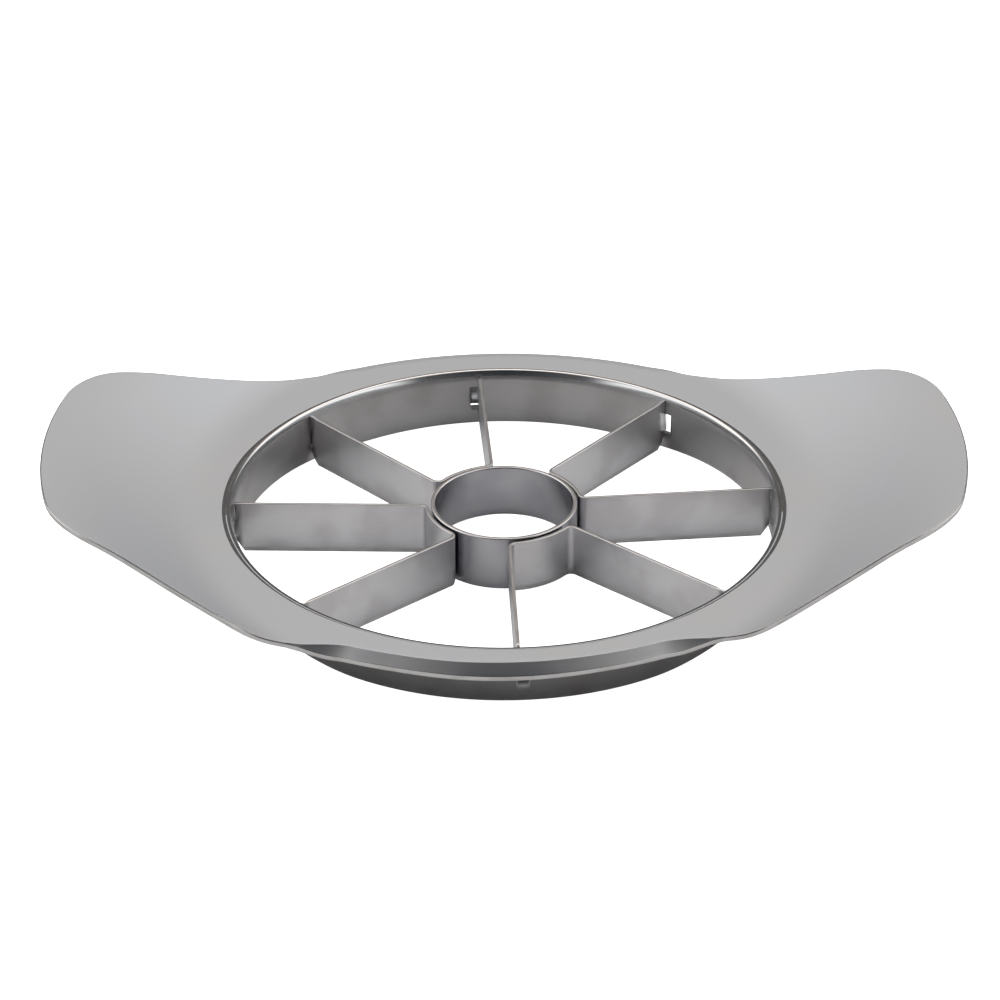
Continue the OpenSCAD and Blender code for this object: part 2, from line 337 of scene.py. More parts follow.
# The trimmed edge of the sheet, sheared and tumbled: duller and a little warmer than the faces
SHEARED_EDGE = StainlessFinish(
    "stainless_edge_sheared", "#C6C5C4", "#B8B6B5", roughness=0.45, roughness_swing=0.08, cloud_mm=5.0,
    grain_pitch_mm=0.3, grain_depth_mm=0.002,
)
# Blade strip, belt-ground along its length: long soft streaks and a broad sheen
GROUND_STRIP = StainlessFinish(
    "stainless_strip_belt_ground", "#D8D8DA", "#CAC9CB", roughness=0.34, roughness_swing=0.06, cloud_mm=9.0,
    grain=Grain.ALONG_STRIP, grain_pitch_mm=0.3, grain_depth_mm=0.0008, tone_swing=0.12,
)
# The narrow faces of the strips, ground and left brighter
GROUND_STRIP_EDGE = StainlessFinish(
    "stainless_strip_ground_edge", "#D8D6D6", "#C9C7C7", roughness=0.3, roughness_swing=0.06, cloud_mm=5.0,
    grain=Grain.ALONG_STRIP, grain_pitch_mm=0.2, grain_depth_mm=0.0006,
)
# Coring ring, cut from polished tube: a clear, slightly blue reflection, with its colour darkened as
# painted shade for the shaded floor between the blades that it reflects
POLISHED_TUBE_WITH_SHADE = StainlessFinish(
    "stainless_tube_polished_painted_shade", "#B8B8BC", "#AEAEB4", roughness=0.22, roughness_swing=0.06, cloud_mm=7.0,
    grain=Grain.ROUND_AXIS, grain_pitch_mm=0.3, grain_depth_mm=0.0006, tone_swing=0.08,
)
# Resistance weld left as it cooled: rough and dark, with a straw tint
COOLED_WELD = StainlessFinish(
    "stainless_weld_as_cooled", "#8A8580", "#75695C", roughness=0.5, roughness_swing=0.15, cloud_mm=1.5,
    grain_pitch_mm=0.3, grain_depth_mm=0.01,
)


class FaceKind(IntEnum):
    """Material slots of the strips and the coring ring."""

    BROAD = 0
    NARROW = 1


class PlateFace(IntEnum):
    """Material slots of the plate."""

    SATIN = 0
    WALL = 1
    EDGE = 2
    LIP = 3
    RIM = 4
    # The crease and the collar's outside get finishes that carry painted shade
    CREASE = 5
    OUTSIDE = 6


PLATE_FINISHES = {
    PlateFace.SATIN: SATIN_SHEET,
    PlateFace.WALL: DRAWN_WALL,
    PlateFace.EDGE: SHEARED_EDGE,
    PlateFace.LIP: PRESSED_LIP,
    PlateFace.RIM: ROLLED_RIM,
    PlateFace.CREASE: RIM_CREASE_SHADE,
    PlateFace.OUTSIDE: OUTER_WALL_SHADE,
}


# --- Handle plate ---


@dataclass
class PlateSections:
    """The plate's upper surface, one row a column, and the points that rim, plate and lip take up."""

    radius: np.ndarray
    height: np.ndarray
    thickness: np.ndarray
    lip_tilt: np.ndarray
    under_bead: np.ndarray
    bead: slice
    plate: slice
    lip: slice


@dataclass
class HandlePlate:
    """The one-piece drawn plate: collar, rolled rim, flat ring, turned-down lips and two raised handles."""

    opening_r: float = 50.0
    collar_h: float = 11.2
    collar_t: float = 0.8
    collar_draft: float = 0.4
    sheet_t: float = 0.9
    # Wall: it leans in, and its lower edge rises toward the sides, from this cosine on
    wall_lean: float = 0.1
    rim_rise: float = 1.3
    rise_from: float = 0.5
    rise_span: float = 0.45
    wall_low_h: float = 2.2
    wall_low_share: float = 0.3
    # Rim: radii of its arcs and the tilts at which they meet, and its width at the front and back
    flare_start_r: float = 3.5
    flare_low_tilt: float = 74.0
    flare_r: float = 9.0
    flare_high_tilt: float = 67.0
    turn_r: float = 0.35
    turn_tilt: float = 14.0
    shoulder_r: float = 2.0
    flare_steps: int = 4
    turn_steps: int = 8
    crease_steps: int = 3
    front_rim_gain: float = 0.35
    back_rim_gain: float = -0.12
    under_crease_r: float = 0.38
    # Outline
    rim_w: float = 6.1
    fold_r: float = 70.0
    waist_w: float = 10.9
    flank_w: float = 14.4
    flank_start: float = 44.4
    flank_angle: float = 26.8
    flank_ease_r: float = 40.0
    handle_l: float = 34.6
    corner_r: float = 18.0
    fold_steps: int = 90
    ease_steps: int = 12
    corner_steps: int = 60
    outline_ease: float = 0.6
    waist_ease: float = 2.6
    waist_spread: float = 0.16
    # Rows across the plate: the one next to the rim, and the first, the last and the number of the others
    near_rim: float = 0.02
    plate_rows: tuple[float, float, int] = (0.05, 0.97, 42)
    # How much further out the front of the outline stands than the back, by direction in degrees
    front_shifts: tuple[tuple[float, float], ...] = (
        (210, 0.0), (222, 0.8), (228, 2.3), (232, 1.8), (236, 0.2), (240, -0.8), (250, -0.9), (262, -0.65),
        (276, -0.95), (290, -1.4), (302, -1.75), (306, -1.3), (309, 0.3), (312, 1.5), (318, 0.5), (326, 0.0),
    )
    # Lip: the half length of its full part, the length over which it fades out, its width and its slope
    lip_half_l: float = 29.0
    front_lip_half_l: float = 28.0
    lip_fade: float = 8.0
    front_lip_fade: float = 12.0
    lip_out: float = 2.8
    lip_middle_gain: float = 0.3
    lip_middle_spread: float = 0.25
    lip_angle: float = 25.4
    back_lip_angle: float = 15.0
    lip_bend_r: float = 1.2
    lip_bend_share: float = 0.6
    lip_start_share: float = 0.15
    bend_steps: int = 6
    lip_steps: int = 4
    # Handles: a low bend, a straight slope and a high bend that levels out
    lift_gap: float = 4.9
    lift_axis: float = 20.0
    lift_angle: float = 29.2
    lift_low_r: float = 13.5
    lift_run: float = 10.3
    lift_high_r: float = 36.0
    # Slots, and the tabs of the blades in them
    slot_w: float = 2.2
    slot_h: float = 4.2
    slot_lift: float = 1.8
    slot_lift_from: float = 0.3
    slot_lift_span: float = 0.4
    slot_room: float = 0.4
    tab_t: float = 0.5
    tab_gap: float = 0.15
    first_wall: tuple[float, ...] = (6.1, 95.4, 179.5, 272.7)
    second_wall: tuple[float, ...] = (51.6, 137.8, 224.4, 321.3)
    # Finishes: the least share of the lip that the die burnished, its first rows that stay satin, and how
    # far back, as a sine, the lip is burnished and the crease's painted shade starts to show
    pressed_share: float = 0.02
    lip_satin_rows: int = 4
    pressed_back: float = 0.2
    crease_front: float = -0.1
    # Rounded edges of the sheet
    top_round: float = 0.22
    top_round_steps: int = 5
    under_round: float = 0.12
    edge_room: float = 0.28
    columns: int = 720
    # Share of a column's pitch that is kept free beside a slot's edge
    column_room: float = 0.45

    def outline_quarter(self) -> np.ndarray:
        """Gives the flat outline in the quarter where X and Y are positive, from the handle's tip on.

        Returns:
            One point a row, going round from the X axis to the Y axis.
        """
        fold_centre_y = self.opening_r + self.rim_w - self.fold_r
        lip_end_y = fold_centre_y + math.sqrt(self.fold_r**2 - self.lip_half_l**2)
        lip_end_angle = math.degrees(math.atan2(self.lip_half_l, lip_end_y - fold_centre_y))
        waist_x = self.lip_half_l + self.lip_fade
        waist = np.array([waist_x, math.sqrt((self.opening_r + self.waist_w) ** 2 - waist_x**2)])
        start, slope = math.radians(self.flank_start), math.radians(self.flank_angle)
        flank = (self.opening_r + self.flank_w) * np.array([math.cos(start), math.sin(start)])
        normal = np.array([math.sin(slope), math.cos(slope)])
        along = np.array([math.cos(slope), -math.sin(slope)])
        tip_r = self.opening_r + self.handle_l
        offset = float(flank @ normal) - self.corner_r
        centre = offset * normal + math.sqrt((tip_r - self.corner_r) ** 2 - offset**2) * along
        end = math.degrees(math.atan2(centre[1], centre[0]))
        waist_slope = math.atan2(waist[1] - flank[1], flank[0] - waist[0])
        tangent = self.flank_ease_r * math.tan((slope - waist_slope) / 2)
        ease_start, flank_end = 90 - math.degrees(waist_slope), 90 - self.flank_angle
        ease = flank - tangent * np.array([math.cos(waist_slope), -math.sin(waist_slope)])
        ease_centre = ease - self.flank_ease_r * np.array([math.sin(waist_slope), math.cos(waist_slope)])
        arcs = [
            arc_points((0.0, fold_centre_y), self.fold_r, 90, 90 - lip_end_angle, self.fold_steps),
            arc_points(ease_centre, self.flank_ease_r, ease_start, flank_end, self.ease_steps),
            arc_points(centre, self.corner_r, flank_end, end, self.corner_steps),
            arc_points((0.0, 0.0), tip_r, end, 0, self.corner_steps),
        ]
        straights = [
            np.linspace(arcs[0][-1], waist, self.ease_steps)[1:-1],
            np.linspace(waist, arcs[1][0], self.ease_steps)[:-1],
            np.linspace(arcs[1][-1], arcs[2][0], self.corner_steps)[1:-1],
        ]
        return np.concatenate([arcs[0], *straights[:2], arcs[1], straights[2], *arcs[2:]])[::-1]

    def outline_radius(self, angles: np.ndarray) -> np.ndarray:
        """Gives the fold line's and the edge's distance from the axis.

        Args:
            angles: Directions in radians.

        Returns:
            The distance in each direction, with the outline's corners eased.
        """
        quarter = self.outline_quarter()
        polar = np.arctan2(quarter[:, 1], quarter[:, 0])
        radius = np.hypot(quarter[:, 0], quarter[:, 1])
        shift_directions, shifts = zip(*self.front_shifts)
        waist = math.atan2(self.opening_r, self.lip_half_l + self.lip_fade)
        from_waist = np.abs((angles + math.pi / 2) % math.pi - math.pi / 2) - waist
        near_waist = np.exp(-((from_waist / self.waist_spread) ** 2))
        ease = np.radians(self.outline_ease + (self.waist_ease - self.outline_ease) * near_waist)
        # Bell-shaped average over two spreads to each side
        spreads = np.linspace(-2, 2, 21)
        weights = np.exp(-(spreads**2) / 2)
        total = np.zeros_like(angles)
        for spread, weight in zip(spreads, weights):
            turned = angles + spread * ease
            folded = np.abs((turned + math.pi / 2) % math.pi - math.pi / 2)
            shift = np.interp(np.degrees(turned) % 360, shift_directions, shifts)
            total += weight * (np.interp(folded, polar, radius) + shift)
        return total / weights.sum()

    @staticmethod
    def toward_front(angles: np.ndarray) -> np.ndarray:
        """Tells how far round to the front each direction is, from 0 at the back to 1."""
        return smooth_step((1 - np.sin(angles)) / 2)

    def lip_share(self, x: np.ndarray, angles: np.ndarray) -> np.ndarray:
        """Tells how much of the lip there is at each place of the outline.

        Args:
            x: Places along X.
            angles: Their directions from the axis.

        Returns:
            Shares from none to all of the lip.
        """
        front = np.sin(angles) < 0
        full = np.where(front, self.front_lip_half_l, self.lip_half_l)
        fade = np.where(front, self.front_lip_fade, self.lip_fade)
        return smooth_step((full + fade - np.abs(x)) / fade)

    def rise(self, x: np.ndarray, y: np.ndarray) -> np.ndarray:
        """Gives how far a handle's top face stands above the flat ring.

        Args:
            x: Places along X.
            y: Places along Y.

        Returns:
            The height at each place.
        """
        run = np.hypot(np.abs(x) + self.lift_axis, y) - self.lift_axis - self.opening_r - self.lift_gap
        slope = math.radians(self.lift_angle)
        low_end = self.lift_low_r * math.sin(slope)
        slope_end = low_end + self.lift_run
        low = self.lift_low_r - np.sqrt(self.lift_low_r**2 - np.clip(run, 0, low_end) ** 2)
        middle = np.clip(run - low_end, 0, self.lift_run) * math.tan(slope)
        past = np.clip(run - slope_end, 0, None)
        centre = self.lift_high_r * math.sin(slope)
        high = np.sqrt(self.lift_high_r**2 - (centre - past) ** 2) - self.lift_high_r * math.cos(slope)
        return low + middle + high

    def rim_height(self, angles: np.ndarray) -> np.ndarray:
        """Gives the height of the collar's lower edge, which rises to the sides where the steel drew in."""
        return self.rim_rise * smooth_step((np.abs(np.cos(angles)) - self.rise_from) / self.rise_span)

    def slot_spans(self) -> list[tuple[float, float]]:
        """Works out where the slots lie round the collar.

        Returns:
            The first and last direction of each slot, in radians.
        """
        shift = (self.slot_w - self.tab_t - 2 * self.tab_gap) / 2
        spans = []
        for walls, side in ((self.first_wall, 1), (self.second_wall, -1)):
            for wall in walls:
                middle = math.radians(wall) + side * shift / self.opening_r
                half = self.slot_w / 2 / self.opening_r
                spans.append((middle - half, middle + half))
        return spans

    def directions(self) -> tuple[np.ndarray, np.ndarray]:
        """Chooses the columns' directions, with one at each edge of each slot.

        Returns:
            The directions in radians, and for each column whether the slot starts there.
        """
        spans = self.slot_spans()
        grid = np.linspace(0, 2 * math.pi, self.columns, endpoint=False)
        clearance = self.column_room * 2 * math.pi / self.columns
        edges = np.array([edge % (2 * math.pi) for span in spans for edge in span])
        near = np.abs((grid[:, None] - edges[None, :] + math.pi) % (2 * math.pi) - math.pi).min(axis=1)
        angles = np.sort(np.concatenate([grid[near > clearance], edges]))
        middles = (angles + np.roll(angles, -1)) / 2
        middles[-1] = (angles[-1] + angles[0] + 2 * math.pi) / 2
        inside = np.zeros(len(angles), bool)
        for low, high in spans:
            centre, half = (low + high) / 2, (high - low) / 2
            gap = np.abs((middles - centre + math.pi) % (2 * math.pi) - math.pi)
            inside |= gap < half
        return angles, inside

    def wall_rows(self, angles: np.ndarray) -> np.ndarray:
        """Gives the heights of the wall's rows, of which three stand at the slots' edges and middle.

        Args:
            angles: Directions of the columns, in radians.

        Returns:
            The heights, one row a column.
        """
        rim = self.rim_height(angles)[:, None]
        at_front = smooth_step((-np.sin(angles) - self.slot_lift_from) / self.slot_lift_span)[:, None]
        slot_high = (self.collar_h + self.slot_h) / 2
        slot_low = (self.collar_h - self.slot_h) / 2 + self.slot_lift * at_front
        level = [slot_high, slot_high + self.slot_room, self.collar_h - self.rim_drop]
        low, middle = self.under_round, self.wall_low_h + self.wall_low_share * rim
        above = np.tile(level, (len(angles), 1))
        return np.hstack([rim + low, rim + 3 * low, middle, slot_low, (slot_low + slot_high) / 2, above])

    def bead_rows(self, angles: np.ndarray) -> tuple[np.ndarray, np.ndarray]:
        """Lays out the rim in each direction: a little wider at the front than at the back.

        Args:
            angles: Directions of the columns, in radians.

        Returns:
            The upper and the lower face's distances from the axis and heights, by column and row.
        """
        upper, lower = self.rim_rows()
        change = (self.front_rim_gain - self.back_rim_gain) * self.toward_front(angles)
        gain = 1 + self.back_rim_gain + change
        upper_r = self.opening_r + (upper[:, 0] - self.opening_r) * gain[:, None]
        outside = self.opening_r + self.collar_t
        lower_r = outside + (lower[:, 0] - outside) * (upper_r[:, -1:] - outside) / (upper[-1, 0] - outside)
        sides = ((upper_r, upper[:, 1]), (lower_r, lower[:, 1]))
        upper_points, lower_points = (np.stack([r, np.broadcast_to(z, r.shape)], axis=2) for r, z in sides)
        return upper_points, lower_points

    def lip_rows(self, angles: np.ndarray, share: np.ndarray) -> tuple[np.ndarray, np.ndarray, np.ndarray]:
        """Lays out the lip: a bend and a straight run down to the edge.

        Args:
            angles: Directions of the columns, in radians.
            share: How much of the lip there is in each direction.

        Returns:
            How far out and how far down each row is, and how steep it stands in radians, one row a column.
        """
        front, tiny = self.toward_front(angles), 1e-6
        gain = self.lip_middle_gain * np.exp(-((np.cos(angles) / self.lip_middle_spread) ** 2)) * front
        slope = np.radians(self.back_lip_angle + (self.lip_angle - self.back_lip_angle) * front)
        slope = (slope * smooth_step(share / self.lip_start_share))[:, None]
        end = ((self.lip_out + gain) * share - self.top_round * share)[:, None]
        bend_r = np.minimum(self.lip_bend_r, self.lip_bend_share * end / np.maximum(np.sin(slope), tiny))
        bend_w = bend_r * np.sin(slope)
        bend = np.linspace(0, 1, self.bend_steps + 1)[1:]
        past = np.linspace(0, 1, self.lip_steps + 1)[1:]
        out = np.hstack([bend_w * bend, bend_w + (end - bend_w) * past])
        in_bend = np.minimum(out, bend_w)
        down = bend_r - np.sqrt(np.maximum(bend_r**2 - in_bend**2, 0))
        down += np.maximum(out - bend_w, 0) * np.tan(slope)
        return out, down, np.arcsin(np.clip(in_bend / np.maximum(bend_r, tiny), 0, 1))

    def sections(self, angles: np.ndarray) -> PlateSections:
        """Lays out the plate's upper surface, from the collar's lower rim to the outer edge.

        Args:
            angles: Directions of the columns, in radians.

        Returns:
            The surface and its stretches.
        """
        wall_z = self.wall_rows(angles)
        wall_share = wall_z / (self.collar_h - self.rim_drop)
        wall_r = self.opening_r - self.wall_lean * (1 - wall_share)
        bead, under_bead = self.bead_rows(angles)
        fold = self.outline_radius(angles)
        share = self.lip_share(fold * np.cos(angles), angles)
        start_r = bead[:, -1:, 0]
        end_r = (fold - self.edge_room * (1 - share))[:, None]
        shares = np.concatenate([[self.near_rim], np.linspace(*self.plate_rows), [1.0]])
        plate_r = start_r + (end_r - start_r) * shares
        c, s = np.cos(angles)[:, None], np.sin(angles)[:, None]
        plate_z = self.collar_h + self.rise(plate_r * c, plate_r * s)
        out, down, lip_tilt = self.lip_rows(angles, share)
        radius = np.hstack([wall_r, bead[:, :, 0], plate_r, end_r + out])
        height = np.hstack([wall_z, bead[:, :, 1], plate_z, plate_z[:, -1:] - down])
        starts = np.cumsum([wall_z.shape[1], bead.shape[1], plate_r.shape[1], out.shape[1]]).tolist()
        thickness = np.full_like(radius, self.sheet_t)
        thickness[:, : starts[0]] = self.collar_t + (self.sheet_t - self.collar_t) * wall_share
        stretches = [slice(first, last) for first, last in zip(starts, starts[1:])]
        return PlateSections(radius, height, thickness, lip_tilt, under_bead, *stretches)

    @property
    def rim_arcs(self) -> tuple[tuple[float, float, float, int], ...]:
        """Lists the arcs of the rim's profile, from the wall up to the ring.

        Returns:
            The radius, first tilt, last tilt and number of steps of each arc.
        """
        return (
            (self.flare_start_r, 90.0, self.flare_low_tilt, self.flare_steps),
            (self.flare_r, self.flare_low_tilt, self.flare_high_tilt, self.flare_steps),
            (self.turn_r, self.flare_high_tilt, self.turn_tilt, self.turn_steps),
            (self.shoulder_r, self.turn_tilt, 0.0, self.turn_steps),
        )

    @property
    def rim_drop(self) -> float:
        """Adds up the heights of the rim's arcs.

        Returns:
            How far below the flat ring the wall starts to flare out into the rim.
        """
        return sum(
            radius * (math.cos(math.radians(last)) - math.cos(math.radians(first)))
            for radius, first, last, _ in self.rim_arcs
        )

    def rim_rows(self) -> tuple[np.ndarray, np.ndarray]:
        """Lays out the rim from the top of the wall to the flat ring, and the sheet's other face.

        The wall flares out a little, turns over tightly and runs into the ring by a broad, low shoulder.

        Returns:
            The upper points and the lower points, one a row.
        """
        wall_top = self.collar_h - self.rim_drop
        upper = []
        start = np.array([self.opening_r, wall_top])
        for radius, first, last, steps in self.rim_arcs:
            tilt = math.radians(first)
            centre = start + radius * np.array([math.sin(tilt), -math.cos(tilt)])
            upper.append(arc_points(centre, radius, 90 + first, 90 + last, steps)[1:])
            start = upper[-1][-1]
        outside = self.opening_r + self.collar_t
        low = self.collar_h - self.sheet_t - self.under_crease_r
        heights = np.linspace(wall_top, low, len(upper[0]) + len(upper[1]) + 1)[1:]
        under_flare = np.stack([np.full(len(heights), outside), heights], axis=1)
        crease_centre = (outside + self.under_crease_r, low)
        under_turn = arc_points(crease_centre, self.under_crease_r, 180, 90, len(upper[2]))[1:]
        spots = np.linspace(under_turn[-1, 0], start[0], len(upper[3]) + 1)[1:]
        under_shoulder = np.stack([spots, np.full(len(spots), self.collar_h - self.sheet_t)], axis=1)
        return np.concatenate(upper), np.concatenate([under_flare, under_turn, under_shoulder])

    @staticmethod
    def under_face(top: PlateSections) -> tuple[np.ndarray, np.ndarray, np.ndarray]:
        """Lays out the sheet's lower face, square under the collar's wall and straight down under the plate.

        Args:
            top: The upper surface.

        Returns:
            The lower face's distances from the axis and heights, and the outer edge's tilt in radians.
        """
        tilt = np.empty_like(top.radius)
        before = slice(0, top.lip.start)
        run, climb = (np.gradient(part[:, before], axis=1) for part in (top.radius, top.height))
        tilt[:, before] = np.arctan2(-climb, run)
        tilt[:, top.lip] = tilt[:, top.lip.start - 1, None] + top.lip_tilt
        under_r = top.radius - top.thickness * np.sin(tilt)
        under_z = top.height - top.thickness * np.cos(tilt)
        flat = slice(top.plate.start, None)
        under_r[:, flat] = top.radius[:, flat]
        under_z[:, flat] = top.height[:, flat] - top.thickness[:, flat] / np.cos(tilt[:, flat])
        under_r[:, top.bead], under_z[:, top.bead] = top.under_bead[:, :, 0], top.under_bead[:, :, 1]
        under_z[:, 0] = top.height[:, 0]
        return under_r, under_z, tilt[:, -1:]

    def outer_edge(
        self, top: PlateSections, under_z: np.ndarray, tilt: np.ndarray
    ) -> tuple[np.ndarray, np.ndarray]:
        """Rounds the outer edge: over from the upper face, straight down, and in to the lower face.

        Args:
            top: The upper surface.
            under_z: The lower face's heights.
            tilt: The outer edge's tilt in radians.

        Returns:
            Distances from the axis and heights, one row a column.
        """
        turn = tilt + (math.pi / 2 - tilt) * np.linspace(0, 1, self.top_round_steps + 1)[1:]
        over_r = top.radius[:, -1:] + self.top_round * (np.sin(turn) - np.sin(tilt))
        over_z = top.height[:, -1:] + self.top_round * (np.cos(turn) - np.cos(tilt))
        quarter = np.radians(QUARTER_ROUND)
        in_r = over_r[:, -1:] - self.under_round * (1 - np.cos(quarter))
        in_z = under_z[:, -1:] + self.under_round * (1 - np.sin(quarter))
        middle_r, middle_z = (over_r[:, -1:] + in_r[:, :1]) / 2, (over_z[:, -1:] + in_z[:, :1]) / 2
        return np.hstack([over_r, middle_r, in_r]), np.hstack([over_z, middle_z, in_z])

    def lower_rim(self, top: PlateSections, under_r: np.ndarray) -> tuple[np.ndarray, np.ndarray]:
        """Rounds the collar's lower rim, from its outside to its inside.

        Args:
            top: The upper surface.
            under_r: The lower face's distances from the axis.

        Returns:
            Distances from the axis and heights, one row a column.
        """
        down = np.radians(QUARTER_ROUND[1:])
        outside_r = under_r[:, :1] - self.under_round * (1 - np.cos(down))
        inside_r = top.radius[:, :1] + self.under_round * (1 - np.cos(down[::-1]))
        rim_z = top.height[:, :1] - self.under_round * np.sin(np.concatenate([down, down[::-1]]))
        return np.hstack([outside_r, inside_r]), rim_z

    def face_slots(
        self, top: PlateSections, angles: np.ndarray, rows: int, edge_rows: int, rim_rows: int
    ) -> np.ndarray:
        """Chooses the finish of every face.

        Args:
            top: The upper surface.
            angles: Directions of the columns, in radians.
            rows: Rows round the whole section.
            edge_rows: Rows of the outer edge.
            rim_rows: Rows of the lower rim.

        Returns:
            The material slots, one row a column.
        """
        upper, bead = top.radius.shape[1], top.bead
        row_slots = np.full(rows, PlateFace.SATIN)
        row_slots[: bead.start + self.flare_steps] = PlateFace.WALL
        row_slots[bead.start + self.flare_steps : bead.stop] = PlateFace.RIM
        # The crease rows get the dark finish that paints the crease's shade
        row_slots[bead.stop - 1 - self.crease_steps : bead.stop - 1] = PlateFace.CREASE
        row_slots[top.lip.start + self.lip_satin_rows : upper - 1] = PlateFace.LIP
        # The collar's outside gets the darker finish that paints the shade it reflects
        row_slots[2 * upper + edge_rows - bead.stop :] = PlateFace.OUTSIDE
        row_slots[upper - 1 : upper + edge_rows] = PlateFace.EDGE
        row_slots[upper - 1 : upper - 1 + self.top_round_steps] = PlateFace.LIP
        row_slots[rows - rim_rows - 1 :] = PlateFace.EDGE
        # The die burnished the lip at its front and ends, and the crease's painted shade is left off the
        # front
        slots = np.tile(row_slots, (len(angles), 1))
        share = self.lip_share(self.outline_radius(angles) * np.cos(angles), angles)
        pressed = (share > self.pressed_share)[:, None] | (np.arange(rows) >= upper - 1)
        back = np.sin(angles)[:, None]
        slots[(slots == PlateFace.LIP) & ((back >= self.pressed_back) | ~pressed)] = PlateFace.SATIN
        slots[(slots == PlateFace.CREASE) & (back <= self.crease_front)] = PlateFace.SATIN
        return slots

    @staticmethod
    def slot_walls(inside: np.ndarray, rows: int, mirror: int) -> list[tuple[int, int, int, int]]:
        """Closes the sheet's thickness round each slot.

        Args:
            inside: Whether the slot starts at each column.
            rows: Rows round the section.
            mirror: The sum of a row's index and that of the row behind it on the lower face.

        Returns:
            The faces.
        """
        faces = []
        count = len(inside)
        for column in np.flatnonzero(inside).tolist():
            here, following = column * rows, (column + 1) % count * rows
            for row in (SLOT_ROWS.start, SLOT_ROWS.stop):
                faces.append(grid_face(here, following, row, mirror - row))
            ends = []
            if not inside[column - 1]:
                ends.append(here)
            if not inside[(column + 1) % count]:
                ends.append(following)
            for end in ends:
                for row in SLOT_ROWS:
                    faces.append((end + row, end + row + 1, end + mirror - row - 1, end + mirror - row))
        return faces

    def build(self) -> bpy.types.Object:
        """Builds the plate as one closed sheet with rounded edges and punched slots.

        Returns:
            The piece.
        """
        angles, inside = self.directions()
        top = self.sections(angles)
        under_r, under_z, tilt = self.under_face(top)
        edge_r, edge_z = self.outer_edge(top, under_z, tilt)
        rim_r, rim_z = self.lower_rim(top, under_r)
        ring_r = np.hstack([top.radius, edge_r, under_r[:, ::-1], rim_r])
        ring_z = np.hstack([top.height, edge_z, under_z[:, ::-1], rim_z])
        c, s = np.cos(angles)[:, None], np.sin(angles)[:, None]
        points = np.stack([ring_r * c, ring_r * s, ring_z], axis=2).reshape(-1, 3)

        count, rows = ring_r.shape
        mirror = 2 * top.radius.shape[1] + edge_r.shape[1] - 1
        open_rows = {*SLOT_ROWS, *(mirror - row - 1 for row in SLOT_ROWS)}
        finish = self.face_slots(top, angles, rows, edge_r.shape[1], rim_r.shape[1])
        faces, slots = [], []
        for column in range(count):
            here, following = column * rows, (column + 1) % count * rows
            for row in range(rows):
                if inside[column] and row in open_rows:
                    continue
                faces.append(grid_face(here, following, row, (row + 1) % rows))
                slots.append(finish[column, row])
        walls = self.slot_walls(inside, rows, mirror)
        return make_piece("pressed_plate", points, faces + walls, slots + [PlateFace.EDGE] * len(walls))

    def dress(self, piece: bpy.types.Object) -> None:
        """Gives the plate its satin faces, burnished wall and sheared edge."""
        materials = [PLATE_FINISHES[face].build() for face in PlateFace]
        finish_piece(piece, "handle_plate", materials)


# --- Blades ---


@dataclass
class StripDraft:
    """A strip's mesh while it is put together: points, their way along and up, faces and material slots."""

    points: list[Sequence[float]]
    run: list[Sequence[float]]
    faces: list[tuple[int, ...]]
    slots: list[FaceKind]

    def add_face(self, corners: tuple[int, ...], kind: FaceKind) -> None:
        """Adds a face with its material slot."""
        self.faces.append(corners)
        self.slots.append(kind)


